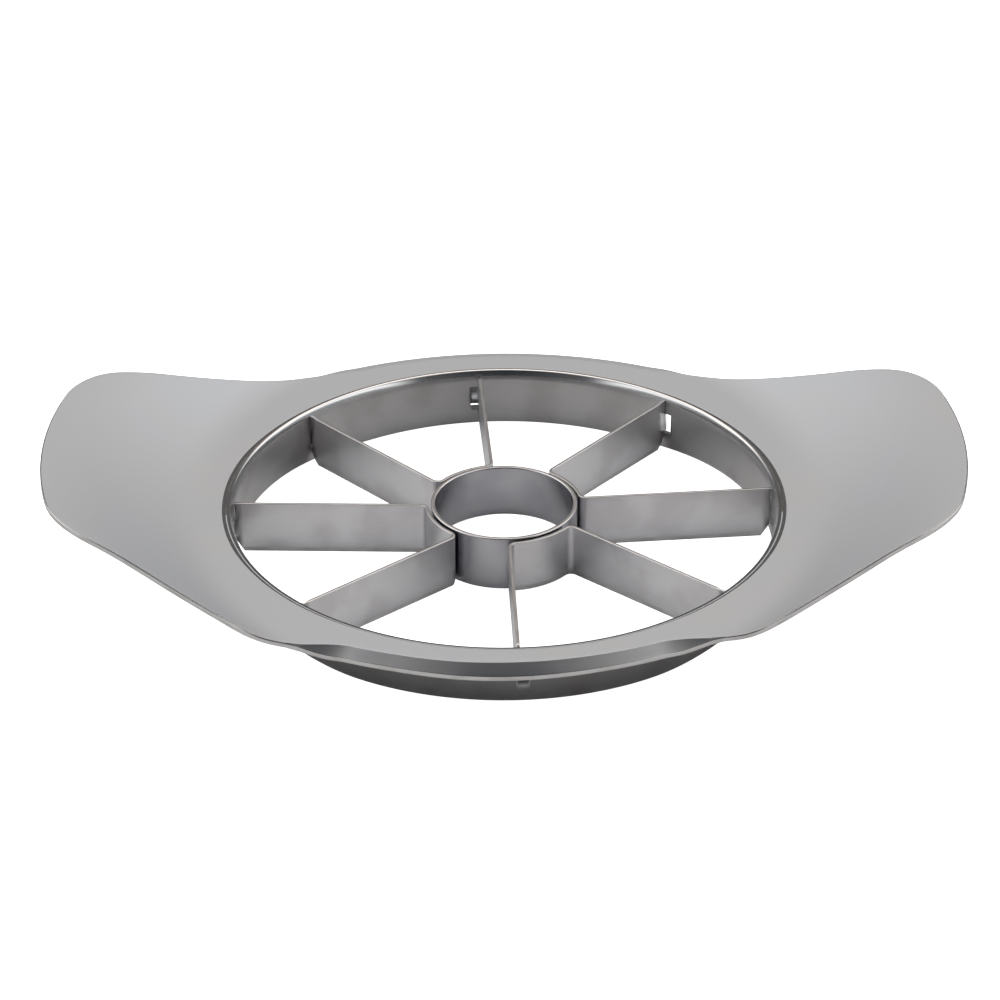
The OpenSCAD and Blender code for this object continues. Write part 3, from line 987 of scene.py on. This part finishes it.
@dataclass
class BladeStrip:
    """One bent strip: two blades, the arc that wraps the hub between them, and a folded tab at each end."""

    name: str
    node: str
    first_wall: float
    first_hub: float
    second_wall: float
    second_hub: float
    plate: HandlePlate
    strip_t: float = 0.6
    strip_h: float = 10.2
    edge_gap: float = 0.2
    bevel_h: float = 1.0
    edge_t: float = 0.12
    # Soft corners of the bevel: at its tip, and in from and below and above its shoulder
    tip_soft: tuple[float, float] = (0.03, 0.1)
    shoulder_soft: tuple[float, float, float] = (0.02, 0.05, 0.12)
    bend_r: float = 1.4
    corner_cut_l: float = 1.5
    corner_cut_h: float = 2.6
    # Heights at which the blade's end follows the rim
    rim_rows: tuple[float, ...] = (8.4, 9.0, 9.6)
    tab_fold_l: float = 1.9
    tab_bend_r: float = 0.55
    tab_lift: float = 0.0
    tab_root: float = 0.1
    tab_end_soft: float = 0.05
    tab_end_share: float = 0.85
    arc_r: float = 14.3
    hub_measure_r: float = 15.0
    round_r: float = 0.07
    blade_steps: int = 23
    bend_steps: int = 10
    arc_steps: int = 20

    def blade_line(self, wall: float, hub: float) -> tuple[float, float, float]:
        """Finds a blade's line from its directions at the wall and at the hub.

        Args:
            wall: Direction at the collar, in degrees.
            hub: Direction at the hub, in degrees.

        Returns:
            The blade's heading in degrees, its sideways offset from the axis, and its outer end's distance.
        """
        end_r = self.plate.opening_r - self.plate.tab_gap
        turn = math.radians(hub - wall)
        heading = wall - math.degrees(
            math.atan2(self.hub_measure_r * math.sin(turn), end_r - self.hub_measure_r * math.cos(turn))
        )
        lean = math.radians(wall - heading)
        return heading, end_r * math.sin(lean), end_r * math.cos(lean)

    def blade_stations(self, wall: float, hub: float, side: int) -> list[tuple[float, float, float]]:
        """Gives a blade's stations from its outer end through its bend.

        Args:
            wall: Direction at the collar, in degrees.
            hub: Direction at the hub, in degrees.
            side: 1 if the strip goes on counter-clockwise, -1 if clockwise.

        Returns:
            The x, the y and the facing direction in degrees of each station.
        """
        heading, offset, end = self.blade_line(wall, hub)
        sideways = offset + side * self.bend_r
        along = math.sqrt((self.arc_r + self.bend_r) ** 2 - sideways**2)
        turn = 90 - side * math.degrees(math.atan2(sideways, along))
        stations = []
        for distance in np.linspace(end, along, self.blade_steps + 1)[:-1]:
            stations.append((distance, offset, heading + side * 90))
        for step in range(self.bend_steps + 1):
            angle = -side * (90 + turn * step / self.bend_steps)
            x = along + self.bend_r * math.cos(math.radians(angle))
            y = sideways + self.bend_r * math.sin(math.radians(angle))
            stations.append((x, y, heading + angle + 180))
        c, s = math.cos(math.radians(heading)), math.sin(math.radians(heading))
        return [(x * c - y * s, x * s + y * c, facing) for x, y, facing in stations]

    def stations(self) -> np.ndarray:
        """Gives the whole strip's stations, from the first blade's end to the second's.

        Returns:
            The x, the y and the facing direction in radians, one station a row.
        """
        first = self.blade_stations(self.first_wall, self.first_hub, 1)
        second = self.blade_stations(self.second_wall, self.second_hub, -1)
        start = math.degrees(math.atan2(first[-1][1], first[-1][0]))
        end = math.degrees(math.atan2(second[-1][1], second[-1][0]))
        sweep = (end - start) % 360
        arc = []
        for step in range(1, self.arc_steps):
            angle = start + sweep * step / self.arc_steps
            turn = math.radians(angle)
            arc.append((self.arc_r * math.cos(turn), self.arc_r * math.sin(turn), angle))
        rows = np.array(first + arc + second[::-1])
        rows[:, 2] = np.radians(rows[:, 2])
        return rows

    def section(self) -> np.ndarray:
        """Gives the strip's section as a closed loop.

        Returns:
            Across and up, one point a row, with the left face's points matching the right face's.
        """
        half, round_r = self.strip_t / 2, self.round_r
        tab_low, tab_high = self.tab_span()
        soft_in, soft_below, soft_above = self.shoulder_soft
        tab_middle = (self.corner_cut_h + tab_high) / 2
        face_rows = [self.bevel_h + soft_above, tab_low, self.corner_cut_h, tab_middle]
        face_rows += [tab_high, *self.rim_rows, self.strip_h - 2 * round_r]
        right = [
            (self.edge_t / 2, 0.0),
            (self.edge_t / 2 + self.tip_soft[0], self.tip_soft[1]),
            (half - soft_in, self.bevel_h - soft_below),
        ]
        right += [(half, z) for z in sorted(face_rows)]
        right += [
            (half - round_r * (1 - math.cos(a)), self.strip_h - round_r * (1 - math.sin(a)))
            for a in np.radians(QUARTER_ROUND)
        ]
        return np.array(right + [(-x, z) for x, z in right[::-1]])

    def tab_span(self) -> tuple[float, float]:
        """Centres the tab in its slot.

        Returns:
            The tab's lowest and highest point above the strip's edge.
        """
        height = self.plate.slot_h - 4 * self.plate.tab_gap
        middle = self.plate.collar_h / 2 - self.edge_gap
        return middle - height / 2, middle + height / 2

    def end_pull(self, z: np.ndarray) -> np.ndarray:
        """Works out how far the blade's end stands back: for the leaning wall, the cut corner and the rim.

        Args:
            z: Heights above the strip's edge.

        Returns:
            The distance at each height.
        """
        plate = self.plate
        above = z + self.edge_gap - (plate.collar_h - plate.rim_drop)
        lean = plate.wall_lean * np.clip(-above / plate.collar_h, 0, 1)
        rim, _ = plate.rim_rows()
        flare = np.interp(z + self.edge_gap, rim[:, 1], rim[:, 0] - plate.opening_r, left=0.0)
        cut = self.corner_cut_l * np.clip(1 - z / self.corner_cut_h, 0, 1)
        return lean + cut - flare

    def build(self) -> bpy.types.Object:
        """Builds the strip as one closed mesh.

        Returns:
            The piece.
        """
        stations, section = self.stations(), self.section()
        count, size = len(stations), len(section)
        across = np.stack([np.cos(stations[:, 2]), np.sin(stations[:, 2])], axis=1)
        points = np.empty((count, size, 3))
        points[:, :, :2] = stations[:, None, :2] + section[None, :, :1] * across[:, None, :]
        points[:, :, 2] = section[:, 1] + self.edge_gap
        steps = np.hypot(*np.diff(stations[:, :2], axis=0).T)
        along = np.concatenate([[0.0], np.cumsum(steps)])
        pull = self.end_pull(section[:, 1])[:, None]
        out_first = (stations[0, :2] - stations[1, :2]) / steps[0]
        out_last = (stations[-1, :2] - stations[-2, :2]) / steps[-1]
        points[0, :, :2] -= pull * out_first
        points[-1, :, :2] -= pull * out_last
        # The two broad faces get their own stretch of the grain
        up = section[:, 1] + np.where(section[:, 0] > 0, 0.0, 2 * self.strip_h)
        run = np.stack(np.broadcast_arrays(along[:, None], up), axis=2) * MM

        draft = StripDraft(points.reshape(-1, 3).tolist(), run.reshape(-1, 2).tolist(), [], [])
        half = size // 2
        narrow = {half - 2, half - 1, half, 0, 1, size - 3, size - 2, size - 1}
        for station in range(count - 1):
            for row in range(size):
                corners = grid_face(row, (row + 1) % size, station * size, (station + 1) * size)
                draft.add_face(corners, FaceKind.NARROW if row in narrow else FaceKind.BROAD)
        for station, out in ((0, out_first), (count - 1, out_last)):
            self.close_end(draft, section[:, 1], station * size, out)
        return make_piece(self.name, np.array(draft.points), draft.faces, draft.slots, np.array(draft.run))

    def close_end(self, draft: StripDraft, up: np.ndarray, base: int, out: np.ndarray) -> None:
        """Closes a blade's end below and above its tab, and grows the tab.

        Args:
            draft: The strip's mesh so far, added to.
            up: The section's heights.
            base: Index of the end's first point.
            out: The blade's outward direction.
        """
        size, slack = len(up), 1e-6
        tab_low, tab_high = self.tab_span()
        rungs = []
        for row in range(size // 2 - 1):
            if up[row] >= tab_low - slack and up[row + 1] <= tab_high + slack:
                rungs.append(row)
            else:
                corners = (base + row, base + row + 1, base + size - 2 - row, base + size - 1 - row)
                draft.add_face(corners, FaceKind.NARROW)
        rows = rungs + [rungs[-1] + 1]
        loop = [base + row for row in rows] + [base + size - 1 - row for row in reversed(rows)]
        self.add_tab(draft, loop, out)

    def add_tab(self, draft: StripDraft, loop: list[int], out: np.ndarray) -> None:
        """Grows the tab out of a blade's end: through the slot, round its bend and along the collar.

        Args:
            draft: The strip's mesh so far, added to.
            loop: The points round the tab's root, up one broad face and down the other.
            out: The blade's outward direction.
        """
        plate, bend = self.plate, self.tab_bend_r
        corner = np.array([draft.points[k] for k in loop])
        side = np.array([-out[1], out[0]])
        middle = (corner[0] + corner[-1])[:2] / 2
        across = (corner[:, :2] - middle) @ side
        start, aside = middle @ out, middle @ side
        wall_r = plate.opening_r - plate.collar_draft / 2
        end = math.sqrt((wall_r + plate.collar_t + plate.tab_gap + plate.tab_t / 2) ** 2 - aside**2)
        fold_end = self.tab_fold_l + plate.tab_t / 2
        path = [(start + self.tab_root, 0.0, 0.0), (wall_r, 0.0, 0.0), (end - bend, 0.0, 0.0)]
        for angle in np.radians(TAB_BEND):
            path.append((end - bend * (1 - math.sin(angle)), bend * (1 - math.cos(angle)), angle))
        path += [(end, fold_end - self.tab_end_soft, math.pi / 2), (end, fold_end, math.pi / 2)]
        before = loop
        for index, (x, y, turn) in enumerate(path):
            narrow = plate.tab_t / self.strip_t * (self.tab_end_share if index == len(path) - 1 else 1.0)
            low = corner[:, 2].min() + (self.tab_lift if index > 1 else 0.0)
            ring = []
            for k, (point, w) in enumerate(zip(corner, across * narrow)):
                spot = (x - w * math.sin(turn)) * out + (aside + y + w * math.cos(turn)) * side
                draft.points.append((spot[0], spot[1], max(point[2], low)))
                way, up = draft.run[loop[k]]
                draft.run.append((way + (x - start) * MM, up))
                ring.append(len(draft.points) - 1)
            for k in range(len(loop)):
                after = (k + 1) % len(loop)
                draft.add_face((before[k], before[after], ring[after], ring[k]), FaceKind.BROAD)
            before = ring
        for k in range(len(loop) // 2 - 1):
            corners = (before[k], before[k + 1], before[-2 - k], before[-1 - k])
            draft.add_face(corners, FaceKind.NARROW)

    def dress(self, piece: bpy.types.Object, finishes: Sequence[bpy.types.Material]) -> None:
        """Gives the strip its ground faces and brighter edges."""
        finish_piece(piece, self.node, finishes)


# --- Hub ---


@dataclass
class CoringRing:
    """The tube in the middle that cuts out the core, sharpened from the inside at its lower edge."""

    core_r: float = 12.75
    wall: float = 0.8
    height: float = 10.5
    edge_gap: float = 0.2
    bevel_h: float = 0.6
    edge_t: float = 0.12
    round_r: float = 0.16
    # Soft corners of the cutting edge and of its bevel, the rows that hold them, and the plain face's rows
    edge_soft: float = 0.02
    edge_rows: tuple[float, float] = (0.05, 0.4)
    bevel_rows: tuple[float, float] = (0.1, 0.03)
    face_room: float = 2.0
    face_rows: int = 4
    columns: int = 160

    def build(self) -> bpy.types.Object:
        """Builds the ring by turning its section.

        Returns:
            The piece.
        """
        inner, outer, r, soft = self.core_r, self.core_r + self.wall, self.round_r, self.edge_soft
        low, high = self.edge_gap, self.edge_gap + self.height
        turns = np.radians(QUARTER_ROUND)
        middles = np.linspace(low + self.face_room, high - self.face_room, self.face_rows)
        section = [(outer - self.edge_t, low), (outer - soft, low)]
        section += [(outer, z) for z in (*(low + row for row in self.edge_rows), *middles, high - 2 * r)]
        section += [(outer - r * (1 - math.cos(a)), high - r * (1 - math.sin(a))) for a in turns]
        section += [(inner + r * (1 - math.cos(a)), high - r * (1 - math.sin(a))) for a in turns[::-1]]
        bevel_z, (above, below) = low + self.bevel_h, self.bevel_rows
        section += [(inner, z) for z in (high - 2 * r, *middles[::-1], bevel_z + above)]
        section += [(inner + soft, bevel_z - below)]
        profile = np.array(section)
        angles = np.linspace(0, 2 * math.pi, self.columns, endpoint=False)
        size = len(profile)
        points = np.empty((self.columns, size, 3))
        points[:, :, 0] = np.cos(angles)[:, None] * profile[:, 0]
        points[:, :, 1] = np.sin(angles)[:, None] * profile[:, 0]
        points[:, :, 2] = profile[:, 1]
        faces, slots = [], []
        for column in range(self.columns):
            for row in range(size):
                after = (row + 1) % size
                faces.append(grid_face(column * size, (column + 1) % self.columns * size, row, after))
                on_top = profile[row, 1] > high - r and profile[after, 1] > high - r
                slots.append(FaceKind.NARROW if on_top or row == size - 1 else FaceKind.BROAD)
        return make_piece("coring_tube", points.reshape(-1, 3), faces, slots)

    def dress(self, piece: bpy.types.Object, edge: bpy.types.Material) -> None:
        """Gives the ring its polished faces, their colour darkened as painted shade, and ground rims."""
        finish_piece(piece, "hub_ring", [POLISHED_TUBE_WITH_SHADE.build(), edge])


@dataclass
class HubWelds:
    """The welds in the gap between the coring ring and the strips' arcs."""

    directions: tuple[float, ...]
    inner_r: float = 13.55
    gap: float = 0.42
    weld_r: float = 1.3
    middle_z: float = 5.6
    waist: float = 0.25
    turns: int = 28
    layers: int = 5

    def build(self) -> bpy.types.Object:
        """Builds each weld as a nugget that is waisted between the two faces that it joins.

        Returns:
            The piece, which holds all the welds.
        """
        points, faces = [], []
        for direction in self.directions:
            base = len(points)
            for share in np.linspace(0, 1, self.layers + 1):
                squeeze = self.weld_r - self.waist * math.sin(share * math.pi)
                radius = self.inner_r + share * self.gap
                for turn in np.linspace(0, 2 * math.pi, self.turns, endpoint=False):
                    angle = math.radians(direction) + math.asin(squeeze * math.cos(turn) / radius)
                    z = self.middle_z + squeeze * math.sin(turn)
                    points.append((radius * math.cos(angle), radius * math.sin(angle), z))
            last = base + self.layers * self.turns
            for low in range(base, last, self.turns):
                for k in range(self.turns):
                    faces.append(grid_face(k, (k + 1) % self.turns, low, low + self.turns))
            faces.append(tuple(range(base, base + self.turns)))
            faces.append(tuple(reversed(range(last, last + self.turns))))
        return make_piece("hub_weld_nuggets", np.array(points), faces)

    def dress(self, piece: bpy.types.Object) -> None:
        """Gives the welds their as-cooled skin."""
        finish_piece(piece, "hub_welds", [COOLED_WELD.build()])


# --- Studio ---


@dataclass(frozen=True)
class SkyStop:
    """A stop of the studio's surround, by its angle from the back horizon up over the top to the front."""

    angle: float
    colour: str
    strength: float


@dataclass
class Studio:
    """Plain pale floor, soft surround, soft lamp and the camera at the photograph's viewing angle."""

    focal_px: float = 3789.22
    distance: float = 700.0
    elevation: float = 30.183
    roll: float = 0.2207
    shift_x: float = 0.7615
    shift_y: float = 0.1142
    aim_z: float = 11.2
    image_px: float = 1000.0
    sensor_mm: float = 36.0
    # The surround right behind and right in front, and what lies between them in the middle and to the sides
    back_sky: tuple[SkyStop, ...] = (
        SkyStop(0, "#FFFFFF", 0.12),
        SkyStop(34, "#FFFFFF", 0.12),
        SkyStop(38, "#FFFFFF", 0.2),
        SkyStop(42, "#FFF6EE", 1.9),
    )
    front_sky: tuple[SkyStop, ...] = (SkyStop(350, "#FFFFFF", 0.45),)
    middle_sky: tuple[SkyStop, ...] = (
        SkyStop(60, "#FFF6EE", 1.9),
        SkyStop(67, "#D8E2FA", 0.4),
        SkyStop(80, "#D4DCEC", 0.08),
        SkyStop(150, "#DDE4F0", 0.05),
        SkyStop(180, "#DDE4F0", 0.06),
    )
    side_sky: tuple[SkyStop, ...] = (
        SkyStop(60, "#FFF8F2", 1.6),
        SkyStop(72, "#FFFFFF", 1.3),
        SkyStop(95, "#FCFDFF", 1.3),
        SkyStop(122, "#F0F2F8", 0.35),
        SkyStop(140, "#F0F2F8", 0.12),
    )
    # How far a direction has to point sideways, as a sine, for the sides and for the panels at both ends
    side_from: float = 0.0
    side_to: float = 0.7
    end_from: float = 0.55
    end_to: float = 0.78
    end_strength: float = 1.5
    floor_half: float = 3000.0
    floor_white: float = 0.8
    floor_glow: float = 0.97
    # The lamp, in metres and watts
    lamp_size: float = 0.5
    lamp_power: float = 2.2
    lamp_back: float = 0.12
    lamp_height: float = 1.0

    def camera(self) -> None:
        """Places the camera."""
        el, roll = math.radians(self.elevation), math.radians(self.roll)
        forward = np.array([0.0, math.cos(el), -math.sin(el)])
        right = np.array([1.0, 0.0, 0.0])
        up = np.array([0.0, math.sin(el), math.cos(el)])
        place = np.array([0.0, 0.0, self.aim_z]) - forward * self.distance
        place -= self.shift_x * right + self.shift_y * up
        axis_x = math.cos(roll) * right - math.sin(roll) * up
        axis_y = math.sin(roll) * right + math.cos(roll) * up
        matrix = np.eye(4)
        matrix[:3, 0], matrix[:3, 1], matrix[:3, 2] = axis_x, axis_y, -forward
        matrix[:3, 3] = place * MM
        data = bpy.data.cameras.new("photo_camera")
        data.sensor_width = self.sensor_mm
        data.lens = self.focal_px / self.image_px * self.sensor_mm
        data.clip_start, data.clip_end = 0.01, 50.0
        camera = bpy.data.objects.new("photo_camera", data)
        camera.matrix_world = Matrix(matrix.tolist())
        bpy.context.scene.collection.objects.link(camera)
        bpy.context.scene.camera = camera

    def surround(self) -> None:
        """Builds the soft surround that the steel reflects; the camera itself sees plain white."""
        world = bpy.data.worlds.new("soft_studio")
        world.use_nodes = True
        tree = world.node_tree
        tree.nodes.clear()
        way = add_node(tree, "ShaderNodeTexCoord").outputs["Generated"]
        parts = add_node(tree, "ShaderNodeSeparateXYZ", {0: way})
        turn = add_node(
            tree, "ShaderNodeMath", {0: parts.outputs["Z"], 1: parts.outputs["Y"]}, operation="ARCTAN2"
        ).outputs[0]
        round_turn = 2 * math.pi
        limits = {0: turn, 1: round_turn, 2: 0.0}
        wrapped = add_node(tree, "ShaderNodeMath", limits, operation="WRAP").outputs[0]
        share = add_node(tree, "ShaderNodeMath", {0: wrapped, 1: round_turn}, operation="DIVIDE").outputs[0]
        glow, side = (
            self.sky_ramp(tree, share, (*self.back_sky, *sky, *self.front_sky))
            for sky in (self.middle_sky, self.side_sky)
        )
        sideways = add_node(tree, "ShaderNodeMath", {0: parts.outputs["X"]}, operation="ABSOLUTE").outputs[0]
        end = (self.end_strength,) * 3 + (1.0,)
        for low, high, colour in ((self.side_from, self.side_to, side), (self.end_from, self.end_to, end)):
            near = add_node(
                tree,
                "ShaderNodeMapRange",
                {"Value": sideways, "From Min": low, "From Max": high},
                interpolation_type="SMOOTHSTEP",
            ).outputs["Result"]
            blend = {0: near, 6: glow, 7: colour}
            glow = add_node(tree, "ShaderNodeMix", blend, data_type="RGBA").outputs[2]
        seen = add_node(tree, "ShaderNodeBackground", {"Color": glow, "Strength": 1.0})
        white = add_node(tree, "ShaderNodeBackground", {"Color": WHITE, "Strength": 1.0})
        ray = add_node(tree, "ShaderNodeLightPath").outputs["Is Camera Ray"]
        both = add_node(tree, "ShaderNodeMixShader", {0: ray, 1: seen.outputs[0], 2: white.outputs[0]})
        add_node(tree, "ShaderNodeOutputWorld", {"Surface": both.outputs[0]})
        bpy.context.scene.world = world

    @staticmethod
    def sky_ramp(
        tree: bpy.types.NodeTree, share: bpy.types.NodeSocket, sky: Sequence[SkyStop]
    ) -> bpy.types.NodeSocket:
        """Turns a list of stops into a colour ramp.

        Args:
            tree: The world's node tree.
            share: The angle as a share of a full turn.
            sky: The stops, by rising angle.

        Returns:
            The ramp's colour.
        """
        ramp = add_node(tree, "ShaderNodeValToRGB", {0: share})
        ramp.color_ramp.interpolation = "EASE"
        stops = ramp.color_ramp.elements
        while len(stops) < len(sky):
            stops.new(1.0)
        for stop, part in zip(stops, sky):
            stop.position = part.angle / 360
            red, green, blue, _ = linear(part.colour)
            stop.color = (red * part.strength, green * part.strength, blue * part.strength, 1.0)
        return ramp.outputs[0]

    def floor(self) -> None:
        """Lays the plain pale floor, which the camera sees as white paper under an even light."""
        corners_xy = ((-1, -1), (1, -1), (1, 1), (-1, 1))
        points = np.array([(x * self.floor_half, y * self.floor_half, 0.0) for x, y in corners_xy])
        floor = make_piece("floor", points, [(0, 1, 2, 3)])
        material = bpy.data.materials.new("matt_white_paper")
        material.use_nodes = True
        tree = material.node_tree
        tree.nodes.clear()
        paper = add_node(tree, "ShaderNodeBsdfDiffuse", {"Color": (self.floor_white,) * 3 + (1.0,)})
        lit = add_node(tree, "ShaderNodeEmission", {"Color": WHITE, "Strength": self.floor_glow})
        seen = add_node(tree, "ShaderNodeAddShader", {0: paper.outputs[0], 1: lit.outputs[0]})
        ray = add_node(tree, "ShaderNodeLightPath").outputs["Is Camera Ray"]
        both = add_node(tree, "ShaderNodeMixShader", {0: ray, 1: paper.outputs[0], 2: seen.outputs[0]})
        add_node(tree, "ShaderNodeOutputMaterial", {"Surface": both.outputs[0]})
        floor.data.materials.append(material)

    def lamp(self) -> None:
        """Hangs one soft lamp high above the back, aimed at the slicer and left out of reflections."""
        data = bpy.data.lights.new("soft_overhead", "AREA")
        data.shape = "DISK"
        data.size = self.lamp_size
        data.energy = self.lamp_power
        data.color = linear("#FFFEFC")[:3]
        lamp = bpy.data.objects.new("soft_overhead", data)
        lamp.location = (0.0, self.lamp_back, self.lamp_height)
        lamp.rotation_euler = (-math.atan2(self.lamp_back, self.lamp_height), 0.0, 0.0)
        lamp.visible_glossy = False
        bpy.context.scene.collection.objects.link(lamp)

    def build(self) -> None:
        """Sets up the camera, the surround, the floor and the lamp."""
        self.camera()
        self.surround()
        self.floor()
        self.lamp()
        bpy.context.scene.view_settings.view_transform = "Standard"


# --- Putting it together ---


def corners(bounds: Any) -> list[list[float]]:
    """Turns a box into plain lists of numbers."""
    return [[float(v) for v in corner] for corner in bounds]


def main() -> None:
    """Builds the studio and the slicer's pieces in order."""
    logging.basicConfig(level=logging.INFO, format="%(message)s")
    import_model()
    Studio().build()
    plate = HandlePlate()
    plate.dress(plate.build())
    strip_finishes = [GROUND_STRIP.build(), GROUND_STRIP_EDGE.build()]
    right, back, left, front = zip(plate.first_wall, plate.second_wall)
    # The plate gives the blades' directions at the collar, and the numbers here are those at the hub
    strips = [
        BladeStrip("right_blades", "blade_strip_right", right[0], 7.8, right[1], 55.0, plate),
        BladeStrip("back_blades", "blade_strip_back", back[0], 98.8, back[1], 147.9, plate),
        BladeStrip("left_blades", "blade_strip_left", left[0], 181.7, left[1], 233.0, plate),
        BladeStrip(
            "front_blades", "blade_strip_front", front[0], 273.9, front[1], 326.6, plate, tab_lift=0.9
        ),
    ]
    for strip in strips:
        strip.dress(strip.build(), strip_finishes)
    ring = CoringRing()
    ring.dress(ring.build(), strip_finishes[1])
    welds = HubWelds(tuple((strip.first_hub + strip.second_hub) / 2 for strip in strips))
    welds.dress(welds.build())


if __name__ == "__main__":
    main()
